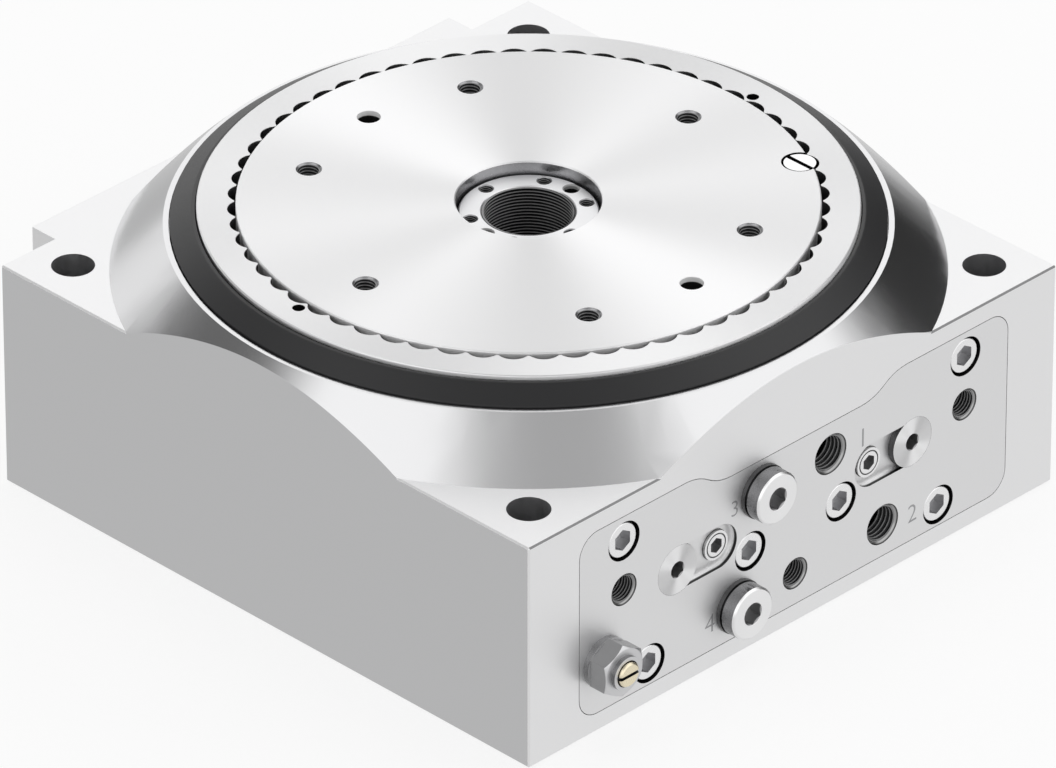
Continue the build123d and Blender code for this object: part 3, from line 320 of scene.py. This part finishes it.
def ridge(bore_r, crest_r, pitch, depth, steps, mouth):
    # One turn after another of a right-hand thread's ridge, down a bore that opens at z = 0. It
    # starts above the bore and is cut off level below the countersink at its mouth.
    bm = bmesh.new()
    root = bore_r + 0.02
    flank = crest_r + 0.3 * (root - crest_r)
    # Seen in section, each corner at a share of the pitch
    outline = ((root, pitch), (flank, 0.72 * pitch), (crest_r, 0.60 * pitch), (crest_r, 0.48 * pitch),
               (root, 0.08 * pitch))
    face = bm.faces.new([bm.verts.new((r * MM, 0, z * MM)) for r, z in outline])
    count = int(steps * depth / pitch)
    bmesh.ops.spin(bm, geom=[face] + list(face.edges) + list(face.verts), cent=(0, 0, 0), axis=(0, 0, 1),
                   dvec=(0, 0, -pitch * MM / steps), angle=-2 * pi * count / steps, steps=count)
    bmesh.ops.bisect_plane(bm, geom=bm.verts[:] + bm.edges[:] + bm.faces[:], plane_co=(0, 0, -mouth * MM),
                           plane_no=(0, 0, 1), clear_outer=True)
    bmesh.ops.holes_fill(bm, edges=[e for e in bm.edges if e.is_boundary], sides=0)
    bmesh.ops.recalc_face_normals(bm, faces=bm.faces)
    # The faces near the crest take the second finish, a painted highlight; the rest take the first, painted
    # shade.
    middle = (crest_r + 0.35 * (bore_r - crest_r)) * MM
    for face in bm.faces:
        face.material_index = int(face.calc_center_median().xy.length < middle)
    mesh = bpy.data.meshes.new("ridge")
    bm.to_mesh(mesh)
    bm.free()
    return mesh


def threads(name, body, mesh, places):
    # The same ridge in every hole of one kind, as one piece that rides on their body.
    bm = bmesh.new()
    for place in places:
        turn = mesh.copy()
        turn.transform(place)
        bm.from_mesh(turn)
    joined = bpy.data.meshes.new(name)
    bm.to_mesh(joined)
    bm.free()
    piece = bpy.data.objects.new(name, joined)
    bpy.context.scene.collection.objects.link(piece)
    for finish in (thread_shade, thread_highlight):
        joined.materials.append(finish)
    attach(piece, body)


def upright(x, y, z):
    # A hole's mouth in a level face.
    return Matrix.Translation((x * MM, y * MM, z * MM))


def into_face(x, z):
    # A hole's mouth in the port face.
    return Matrix.Translation((x * MM, FACE_Y * MM, z * MM)) @ Matrix.Rotation(radians(90), 4, "X")


threads("plate_threads", body_of["rotary_plate"], ridge(*PLATE_RIDGE),
        [upright(x, y, PLATE_TOP) for x, y in THREAD_AT])


# ---- Index ring: the turned ring with sixty scallops, its two pins and the slotted key.
# The plate's rim clamps it; the key fills a hole shared by the plate and one scallop.
RING_TINT = (0.90, 0.90, 0.905)
RING_TOP = 109.45
# The scallops are painted dark as painted shade in their pockets.
SCALLOP_SHADE = (0.15, 0.15, 0.152)
SCALLOP_REACH = 100.1
PIN_HOLES = ((-101.06, 5.3), (101.06, -5.3))
PIN_HOLE_R = 2.2
KEY_TOP = 109.8

ring_turned = turned_finish(shader("ring_turned", RING_TINT, 0.40), 0.92, slant=0.317)
scallop_shade = grained(shader("scallop_shade", SCALLOP_SHADE, 0.4), 900, (0.3, 0.45), 0.1)
index_ring = paint(machined("index_ring", TURNED_EDGE), ring_turned, scallop_shade, shade_black)
repaint(index_ring, scallop_shade, lambda at, out: from_axis(at) < SCALLOP_REACH and at.z < RING_TOP - 0.1)
repaint(index_ring, shade_black, lambda at, out: at.z < RING_TOP - 0.1
        and nearest_axis(at, PIN_HOLES) < PIN_HOLE_R)
repaint(index_ring, shade_black, lambda at, out: at.z < RING_TOP - 0.1
        and from_axis(at, *KEY_AT) < KEY_HOLE_R + 0.1)
# The pins are painted black all over, as painted shade in their holes.
paint(machined("index_ring_pins", SCREW_EDGE), shade_black)
# The key's slot is painted black as painted shade.
key = paint(machined("locking_key_screw", SCREW_EDGE), screw_steel, shade_black)
repaint(key, shade_black, lambda at, out: at.z < KEY_TOP - 0.2)


# ---- Cover ring: the black sloping ring that shields the gap between table and housing.
# Turned aluminium, black anodised to a satin, pressed into the rim.
BLACK = (0.013, 0.013, 0.014)
COVER_RING_EDGE = 0.1 * MM

black_anodised = grained(shader("black_anodised", BLACK, 0.3, 0.0), 2200, (0.28, 0.40), 0.06)
paint(machined("cover_ring", COVER_RING_EDGE), black_anodised)


# ---- Centre column: the fixed hollow steel column with its fine inner thread.
# Turned and ground; its face has six small threads and two pin holes.
COLUMN_TINT = (0.88, 0.88, 0.89)
COLUMN_TOP = 105.7
COLUMN_BORE_R = 15.65
COLUMN_FACE_R = 23.2
HOLE_DEPTH = 12
SMALL_CIRCLE_R = 20.0
SMALL_AT = tuple((SMALL_CIRCLE_R * cos(radians(a)), SMALL_CIRCLE_R * sin(radians(a)))
                 for a in range(30, 390, 60))
SMALL_PINS = tuple((SMALL_CIRCLE_R * cos(radians(a)), SMALL_CIRCLE_R * sin(radians(a))) for a in (0, 180))
SMALL_RIM_R = 2.7
SMALL_SINK = 0.65
SMALL_SINK_R = 2.98
PIN_SINK = 0.8
PIN_SINK_R = 3.6
PIN_SHADE = (1.4, 1.7)
SMALL_RIDGE = (2.3, 1.95, 0.7, 8, 24, 0.6)
CENTRE_RIDGE = (15.65, 14.9, 1.22, 30, 90, 0.2)

column_turned = turned_finish(shader("column_turned", COLUMN_TINT, 0.35), 0.85)


def mouth_of(places):
    # A test for the rims of the small holes in the column's face.
    return lambda at: nearest_axis(at, places) < SMALL_RIM_R and at.z > COLUMN_TOP - 0.1


pin_bore_shade = shaded_down(shader("pin_bore_shade", COLUMN_TINT, 0.5, 0.0), "Z",
                       COLUMN_TOP - PIN_SHADE[0], COLUMN_TOP - PIN_SHADE[1], 0.34, 0.0)
column = paint(machined("centre_column", SCREW_EDGE,
                        mouths=((mouth_of(SMALL_PINS), PIN_SINK), (mouth_of(SMALL_AT), SMALL_SINK))),
               column_turned, thread_shade, shade_black, bore_shade, pin_bore_shade)
# Painted shade in the small holes' countersinks, the centre bore, the holes' walls and the pin holes.
repaint(column, bore_shade, lambda at, out: nearest_axis(at, SMALL_AT) < SMALL_SINK_R
        and COLUMN_TOP - 0.7 < at.z < COLUMN_TOP - 0.02)
repaint(column, thread_shade, lambda at, out: from_axis(at) < COLUMN_BORE_R + 0.1 and at.z < COLUMN_TOP - 0.4)
repaint(column, shade_black, lambda at, out: COLUMN_BORE_R + 0.5 < from_axis(at) < COLUMN_FACE_R
        and COLUMN_TOP - HOLE_DEPTH < at.z < COLUMN_TOP - 0.67)
repaint(column, pin_bore_shade, lambda at, out: nearest_axis(at, SMALL_PINS) < PIN_SINK_R
        and COLUMN_TOP - HOLE_DEPTH < at.z < COLUMN_TOP - 0.02)
threads("column_threads", body_of["centre_column"], ridge(*SMALL_RIDGE),
        [upright(x, y, COLUMN_TOP) for x, y in SMALL_AT])
threads("centre_thread", body_of["centre_column"], ridge(*CENTRE_RIDGE),
        [upright(0, 0, COLUMN_TOP)])


# ---- Port cover: the flush plate that closes the two cylinders on the port side.
# Milled and blasted like the housing, a shade darker, with ports, slots and screws.
COVER_TINT = (0.86, 0.86, 0.865)
STUDS = ((-80.3, 49.2), (80.3, 49.2), (0.0, 19.1))
PORTS = ((16.2, 58.25), (41.6, 19.5))
STUD_RIM_R, STUD_BORE_R = 5.9, 5.1
PORT_RIM_R, PORT_BORE_R = 7.55, 6.7
RIM_DEPTH = 0.8
STUD_RIDGE = (5.0, 4.4, 1.2, 8.2, 36, 0.7)
PORT_RIDGE = (6.58, 5.9, 1.7, 9.7, 44, 0.9)
SLOT_Z = 45.6
SLOT_HALF = 9.4
SLOT_INNER_X, SLOT_OUTER_X = 26, 66
SLOT_TOP, SLOT_FLOOR = 0.4, 3.2
LOCKS = ((-36.0, SLOT_Z), (36.0, SLOT_Z))
LOCK_HOLE_R = 5.8
ADJUSTERS = ((-55.4, SLOT_Z), (55.4, SLOT_Z))

cover_blasted = grained(shader("cover_blasted", COVER_TINT, BLASTED_ROUGH), *BLAST_GRAIN)
# Painted shade: the slots' walls are dark for the first millimetre in from the face and light deeper in; the
# holes' mouths are dark at the rim and grey further in.
slot_wall_shade = shaded_down(shader("slot_wall_shade", COVER_TINT, 0.4), "Y", FACE_Y + 1.0, FACE_Y + 1.5, 0.06, 0.97)
mouth_shade = shaded_down(shader("mouth_shade", COVER_TINT, 0.3), "Y", FACE_Y + 0.25, FACE_Y + 0.5, 0.07, 0.42)
front_cover = paint(machined("front_cover", PLATE_EDGE), cover_blasted, shade_black, thread_shade, slot_wall_shade,
                    mouth_shade)
# Painted shade in the slots, screw seats, lock holes and the mouths and bores of the studs and ports.
repaint(front_cover, slot_wall_shade, lambda at, out: abs(out.y) < 0.5
        and FACE_Y + SLOT_TOP < at.y < FACE_Y + SLOT_FLOOR
        and abs(at.z - SLOT_Z) < SLOT_HALF and SLOT_INNER_X < abs(at.x) < SLOT_OUTER_X)
repaint(front_cover, shade_black, lambda at, out: near(at, COVER_SCREWS) < SEAT_R and at.y > FACE_Y + SEAT_RIM)
repaint(front_cover, mouth_shade, lambda at, out: near(at, LOCKS) < LOCK_HOLE_R and at.y > FACE_Y + 2.6)
repaint(front_cover, mouth_shade, lambda at, out: at.y > FACE_Y + 0.1
        and (near(at, STUDS) < STUD_RIM_R or near(at, PORTS) < PORT_RIM_R))
repaint(front_cover, thread_shade, lambda at, out: near(at, STUDS) < STUD_BORE_R and at.y > FACE_Y + RIM_DEPTH)
repaint(front_cover, thread_shade, lambda at, out: near(at, PORTS) < PORT_BORE_R and at.y > FACE_Y + RIM_DEPTH)
threads("stud_threads", body_of["front_cover"], ridge(*STUD_RIDGE),
        [into_face(x, z) for x, z in STUDS])
threads("port_threads", body_of["front_cover"], ridge(*PORT_RIDGE),
        [into_face(x, z) for x, z in PORTS])


# ---- Numerals by the ports: plain engraved figures, cut a hair deep and left grey.
# 1 and 2 stand beside the open ports, 3 and 4 beside the plugged ones.
FIGURES = (("1", 31.5, 57.9, 6.9), ("2", 55.9, 17.6, 6.6), ("3", -29.0, 57.4, 5.8), ("4", -40.2, 17.7, 6.9))
FIGURE_TINT = (0.42, 0.42, 0.43)
FIGURE_DEPTH = 0.002
FIGURE_THIN = -0.012

figure_grey = grained(shader("figure_grey", FIGURE_TINT, 0.5), 1500, (0.45, 0.55), 0.05)
bm = bmesh.new()
for figure, x, z, height in FIGURES:
    curve = bpy.data.curves.new("figure", "FONT")
    curve.body = figure
    curve.extrude = FIGURE_DEPTH
    curve.offset = FIGURE_THIN
    drawn = bpy.data.objects.new("figure", curve)
    bpy.context.scene.collection.objects.link(drawn)
    flat = bpy.data.meshes.new_from_object(drawn.evaluated_get(bpy.context.evaluated_depsgraph_get()))
    bpy.data.objects.remove(drawn)
    low = Vector([min(v.co[i] for v in flat.vertices) for i in range(2)])
    high = Vector([max(v.co[i] for v in flat.vertices) for i in range(2)])
    middle = (low + high) / 2
    size = height / (high.y - low.y)
    flat.transform(Matrix.Translation((-middle.x, -middle.y, 0)))
    flat.transform(Matrix.Scale(size * MM, 4))
    flat.transform(into_face(x, z))
    bm.from_mesh(flat)
mesh = bpy.data.meshes.new("port_figures")
bm.to_mesh(mesh)
bm.free()
figures = bpy.data.objects.new("port_figures", mesh)
bpy.context.scene.collection.objects.link(figures)
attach(figures, body_of["front_cover"])
paint(figures, figure_grey)


# ---- Cushion adjusters, lock screws, plugs and throttle: the small turned fittings.
# Bright steel turned across the face, with hexagon sockets; the throttle has a brass screw.
BRASS = (0.92, 0.83, 0.62)
PLUGS = ((-16.3, 58.7), (-27.5, 19.1))
PLUG_FRONT = -131.5
LOCK_TOP = -122.6
THROTTLE = ((-89.8, 26.1),)
NUT_FRONT = -133.6
FLANGE_FRONT = -126.1
ADJUSTER_EDGE = 0.25 * MM
ADJUSTER_R, ADJUSTER_SOCKET_R = 8.85, 3.3
PLUG_R, PLUG_SOCKET_R = 8.2, 4.3
PLUG_HEAD = 4
FLANGE_R = 8.8
SPINDLE_R, COLLAR_R = 5, 6.3
LOCK_SOCKET_R, LOCK_STEP_R, LOCK_HEAD_R, LOCK_OUTER_R = 2.95, 3.95, 4.55, 5.1
SLIT_HALF = 0.62
SLIT_FRONT = -136.3
# Painted shade: the sides of the adjusters, plugs and throttle are darker greys than their faces, the washers
# near black.
SIDE_SHADE_STEEL = (0.25, 0.25, 0.255)
SIDE_SHADE_DARK = (0.10, 0.10, 0.102)
NUT_SIDE_SHADE = (0.36, 0.36, 0.365)
NUT_FACE = (0.70, 0.70, 0.71)

spun_steel = turned_finish(shader("spun_steel", SCREW_TINT, 0.52), 0.97, axis="Y")
plug_steel = turned_finish(shader("plug_steel", SCREW_TINT, 0.3), 0.5, axis="Y")
side_shade_steel = grained(shader("side_shade_steel", SIDE_SHADE_STEEL, 0.25), 1800, (0.2, 0.3), 0.04)
side_shade_dark = grained(shader("side_shade_dark", SIDE_SHADE_DARK, 0.35), 1800, (0.3, 0.4), 0.04)
brass = grained(shader("throttle_brass", BRASS, 0.25), 1500, (0.2, 0.32), 0.05)
# The adjusters' sockets and sides take painted shade.
for node in ("cushion_adjuster_left", "cushion_adjuster_right"):
    adjuster = paint(machined(node, ADJUSTER_EDGE), spun_steel, socket_shade_dark, side_shade_dark)
    repaint(adjuster, socket_shade_dark, lambda at, out: near(at, ADJUSTERS) < ADJUSTER_SOCKET_R
            and at.y > FACE_Y + 0.1)
    repaint(adjuster, side_shade_dark, lambda at, out: near(at, ADJUSTERS) > ADJUSTER_R and out.y > -0.9)
for node in ("port_plug_upper", "port_plug_lower"):
    plug = paint(machined(node, SCREW_EDGE), plug_steel, socket_shade_dark, side_shade_steel)
    repaint(plug, side_shade_steel, lambda at, out: near(at, PLUGS) > PLUG_R and abs(out.y) < 0.3)
    repaint(plug, side_shade_steel, lambda at, out: at.y > PLUG_FRONT + PLUG_HEAD)
    repaint(plug, socket_shade_dark, lambda at, out: near(at, PLUGS) < PLUG_SOCKET_R and at.y > PLUG_FRONT + 0.1)
# The washers are painted dark all over as painted shade round the plugs.
paint(machined("plug_washers", SCREW_EDGE), side_shade_dark)
# Painted shade: the hexagon's sides darker and its front face a lighter grey, lit and shaded copies of one
# steel.
nut_side_shade = grained(shader("nut_side_shade", NUT_SIDE_SHADE, 0.22), 1800, (0.18, 0.26), 0.04)
nut_face = turned_finish(shader("nut_face", NUT_FACE, 0.3), 0.8, axis="Y")
throttle = paint(machined("throttle_body", SCREW_EDGE), nut_face, nut_side_shade, side_shade_dark, side_shade_steel)
repaint(throttle, nut_side_shade, lambda at, out: at.y > NUT_FRONT + 0.9 and abs(out.y) < 0.6)
repaint(throttle, side_shade_steel, lambda at, out: SPINDLE_R < near(at, THROTTLE) < COLLAR_R
        and at.y < NUT_FRONT + 0.1 and out.y > -0.8)
repaint(throttle, side_shade_steel, lambda at, out: near(at, THROTTLE) > FLANGE_R and at.y > FLANGE_FRONT
        and abs(out.y) < 0.6)
repaint(throttle, side_shade_dark, lambda at, out: near(at, THROTTLE) < SPINDLE_R and abs(out.y) < 0.6)
# The lock screws' sockets and the sides of their heads take painted shade.
locks = paint(machined("adjuster_lock_screws", SCREW_EDGE), screw_steel, socket_shade_dark, mouth_shade)
repaint(locks, socket_shade_dark, lambda at, out: near(at, LOCKS) < LOCK_SOCKET_R and at.y > LOCK_TOP + 0.1)
repaint(locks, socket_shade_dark, lambda at, out: LOCK_STEP_R < near(at, LOCKS) < LOCK_HEAD_R
        and at.y > LOCK_TOP + 0.1)
repaint(locks, mouth_shade, lambda at, out: near(at, LOCKS) > LOCK_OUTER_R and abs(out.y) < 0.3)
# The brass screw's slit is painted dark as painted shade.
throttle_screw = paint(machined("throttle_screw", SCREW_EDGE), brass, side_shade_dark)
repaint(throttle_screw, side_shade_dark, lambda at, out: abs(at.z - THROTTLE[0][1]) < SLIT_HALF
        and at.y > SLIT_FRONT)


# ---- Pieces inside the housing: bearing, hub, index wheel, gear, pistons and bolts.
# Their nodes keep their own shapes and take plain worked finishes of their real materials.
inner_finish = {
    "seal_rubber": grained(shader("seal_rubber", (0.02, 0.02, 0.02), 0.6, 0.0), 900, (0.5, 0.7), 0.2),
    "guide_plastic": grained(shader("guide_plastic", (0.75, 0.72, 0.62), 0.5, 0.0), 600, (0.4, 0.6), 0.1),
    "bearing_steel": grained(shader("bearing_steel", (0.62, 0.62, 0.63), 0.15), 2000, (0.10, 0.18), 0.02),
    "cage_brass": grained(shader("cage_brass", (0.78, 0.60, 0.32), 0.3), 1200, (0.25, 0.38), 0.08),
    "bush_bronze": grained(shader("bush_bronze", (0.66, 0.45, 0.27), 0.35), 1500, (0.3, 0.42), 0.1),
    "gear_steel": grained(shader("gear_steel", (0.52, 0.52, 0.53), 0.3), 1600, (0.24, 0.38), 0.08),
    "piston_aluminium": grained(shader("piston_aluminium", (0.82, 0.82, 0.83), 0.3), 1500, (0.26, 0.36),
                                0.06),
    "turned_aluminium": plate_turned,
    "screw_steel": screw_steel,
    "housing_aluminium": blasted,
}
for node, obj in nodes.items():
    if not obj.hide_render:
        paint(obj, inner_finish[slot_of[node]])


# ---- Studio: white floor, soft lamps, dark cards for the polished metal, and the camera.
# The cards are seen in reflections alone, as the black flags of a photographer's light tent are.
FLOOR_R = 6.0
FLOOR_Z = -0.0005
FLOOR_WHITE = (0.93, 0.93, 0.93)
FLOOR_GLOW = 0.8
FLOOR_LEFT = 0.585
FLOOR_RIGHT = 0.78
FLOOR_TURN = 315
FLOOR_REACH = 0.85
HORIZON = (-0.09, 0.05)
TENT_SOFT = 0.75
TENT_GLOW = 1.15
# Each card: azimuth and elevation, the angles where it is full and where it ends, and its level
CARDS = ((116, 30, 3, 33, 0.13), (2, 3, 10, 42, 0.03), (238, 58, 0, 28, 0.40), (72, 6, 5, 40, 0.82),
         (60, 85, 0, 33, 0.35))
LOOK_AT = Vector((0, 0, 0.03781))
CAMERA_BACK = 4.4294
CAMERA_AZ = radians(-45.0144)
CAMERA_UP = radians(31.82)
CAMERA_LENS = 452.1
CAMERA_SHIFT = (-0.00063, 0.00059)

bm = bmesh.new()
bmesh.ops.create_grid(bm, x_segments=2, y_segments=2, size=FLOOR_R)
bmesh.ops.translate(bm, verts=bm.verts, vec=(0, 0, FLOOR_Z))
mesh = bpy.data.meshes.new("floor")
bm.to_mesh(mesh)
bm.free()
floor = bpy.data.objects.new("floor", mesh)
bpy.context.scene.collection.objects.link(floor)
floor_white = shader("floor_white", FLOOR_WHITE, 0.9, 0.0)
paint(floor, floor_white)
tree = floor_white.node_tree
glow = add(floor_white, "ShaderNodeEmission", Strength=1.0)
clear = add(floor_white, "ShaderNodeBsdfTransparent")
rays = add(floor_white, "ShaderNodeLightPath")
share = add(floor_white, "ShaderNodeMath", [(rays.outputs["Is Camera Ray"], 0)], operation="MULTIPLY")
share.inputs[1].default_value = FLOOR_GLOW
lit = add(floor_white, "ShaderNodeMixShader", [(share.outputs[0], 0), (main_of(floor_white).outputs[0], 1),
                                               (glow.outputs[0], 2)])
mirrored = add(floor_white, "ShaderNodeMixShader", [(rays.outputs["Is Glossy Ray"], 0), (lit.outputs[0], 1),
                                                    (clear.outputs[0], 2)])
tree.links.new(mirrored.outputs[0], tree.nodes["Material Output"].inputs["Surface"])


def toward(azimuth, elevation):
    # The direction from the object to a place in the tent.
    a, e = radians(azimuth), radians(elevation)
    return cos(a) * cos(e), sin(a) * cos(e), sin(e)


def between(source, low, high, to_low, to_high):
    # A soft step from one level to another.
    node = add(world, "ShaderNodeMapRange", [(source, "Value")], interpolation_type="SMOOTHSTEP",
               From_Min=low, From_Max=high, To_Min=to_low, To_Max=to_high)
    return node.outputs["Result"]


def along(direction):
    # How far the looked-at direction points along a given one.
    node = add(world, "ShaderNodeVectorMath", [(looked.outputs["Generated"], 0)], operation="DOT_PRODUCT")
    node.inputs[1].default_value = direction
    return node.outputs["Value"]


world = bpy.data.worlds.new("light_tent")
bpy.context.scene.world = world
world.use_nodes = True
looked = add(world, "ShaderNodeTexCoord")
rays = add(world, "ShaderNodeLightPath")
below = between(along(toward(FLOOR_TURN, 0)), -FLOOR_REACH, FLOOR_REACH, FLOOR_LEFT, FLOOR_RIGHT)
level = between(along((0, 0, 1)), *HORIZON, 0.0, 1.0)
mixed = add(world, "ShaderNodeMix", [(level, 0), (below, 2)])
mixed.inputs[3].default_value = TENT_GLOW
level = mixed.outputs[0]
for azimuth, elevation, core, reach, dark in CARDS:
    card = between(along(toward(azimuth, elevation)), cos(radians(reach)), cos(radians(core)), 1.0, dark)
    level = add(world, "ShaderNodeMath", [(level, 0), (card, 1)], operation="MULTIPLY").outputs[0]
soft = add(world, "ShaderNodeMix", [(rays.outputs["Is Glossy Ray"], 0), (level, 3)])
soft.inputs[2].default_value = TENT_SOFT
seen = add(world, "ShaderNodeMix", [(rays.outputs["Is Camera Ray"], 0), (soft.outputs[0], 2)])
seen.inputs[3].default_value = 1.0
back = world.node_tree.nodes["Background"]
back.inputs["Color"].default_value = (1, 1, 1, 1)
world.node_tree.links.new(seen.outputs[0], back.inputs["Strength"])


def lamp(name, at, size, power):
    # A soft square of light aimed at the object, which polished metal doesn't show.
    light = bpy.data.lights.new(name, "AREA")
    light.shape = "RECTANGLE"
    light.size, light.size_y = size
    light.energy = power
    obj = bpy.data.objects.new(name, light)
    bpy.context.scene.collection.objects.link(obj)
    obj.location = at
    obj.rotation_euler = (LOOK_AT - Vector(at)).to_track_quat("-Z", "Y").to_euler()
    obj.visible_glossy = False


lamp("lamp_right", (1.6, -1.6, 1.4), (1.2, 1.0), 8)
lamp("lamp_top", (0.3, 0.4, 2.2), (1.6, 1.6), 8)

camera = bpy.data.objects.new("camera", bpy.data.cameras.new("camera"))
bpy.context.scene.collection.objects.link(camera)
bpy.context.scene.camera = camera
away = Vector((sin(CAMERA_AZ) * cos(CAMERA_UP), -cos(CAMERA_AZ) * cos(CAMERA_UP), sin(CAMERA_UP)))
camera.location = LOOK_AT + away * CAMERA_BACK
camera.rotation_mode = "QUATERNION"
camera.rotation_quaternion = (-away).to_track_quat("-Z", "Y")
camera.data.sensor_width = 36.0
camera.data.lens = CAMERA_LENS
camera.data.shift_x, camera.data.shift_y = CAMERA_SHIFT
camera.data.clip_start = 0.1
camera.data.clip_end = 40.0
bpy.context.scene.view_settings.view_transform = "Standard"
